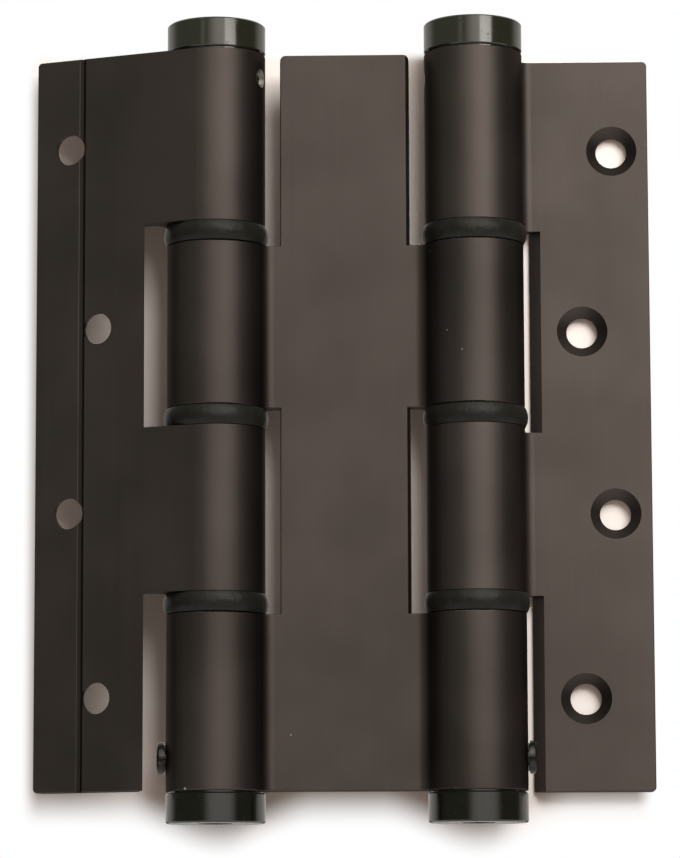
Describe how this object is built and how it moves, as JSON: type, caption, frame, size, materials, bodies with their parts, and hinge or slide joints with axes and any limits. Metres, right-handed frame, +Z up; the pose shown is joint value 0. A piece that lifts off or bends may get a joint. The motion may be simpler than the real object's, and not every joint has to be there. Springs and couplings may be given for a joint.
{
  "type": "double action spring hinge",
  "caption": "Dark bronze double action spring hinge for swing doors: three aluminium leaves on two sprung barrels with black ring bearings and screwed end caps.",
  "frame": {"origin": "midway between the two barrel axes, at half the height of the leaves", "axes": "+Z up along the barrels, towards the plain top caps; +Y out of the right leaf's fixing face; +X from the left barrel to the right one"},
  "size_m": [0.1504, 0.0254, 0.1952],
  "materials": {
    "bronze_anodised": "satin",
    "polished_cap": "gloss",
    "dark_steel": "satin",
    "bright_steel": "satin",
    "black_plastic": "satin"
  },
  "bodies": {
    "right_side": {"right_leaf": "bronze_anodised", "right_top_cap": "polished_cap", "right_set_screw": "bright_steel"},
    "middle": {"centre_leaf": "bronze_anodised", "right_tension_cap": "polished_cap", "right_lock_screw": "dark_steel", "right_spring": "bright_steel", "left_tension_cap": "polished_cap", "left_lock_screw": "dark_steel", "left_spring": "bright_steel", "right_ring_upper": "black_plastic", "right_ring_middle": "black_plastic", "right_ring_lower": "black_plastic", "left_ring_upper": "black_plastic", "left_ring_middle": "black_plastic", "left_ring_lower": "black_plastic"},
    "left_side": {"left_leaf": "bronze_anodised", "left_top_cap": "polished_cap", "left_set_screw": "bright_steel"}
  },
  "joints": [
    {"name": "right_fold", "type": "hinge", "parent": "right_side", "child": "middle", "pos_m": [0.0315, 0, 0], "axis": [0, 0, 1], "range_deg": [0, 180], "stiffness_Nm_per_rad": 0.6, "deforming": ["right_spring"]},
    {"name": "left_fold", "type": "hinge", "parent": "middle", "child": "left_side", "pos_m": [-0.0315, 0, 0], "axis": [0, 0, -1], "range_deg": [-21, 159], "stiffness_Nm_per_rad": 0.6, "deforming": ["left_spring"]}
  ]
}
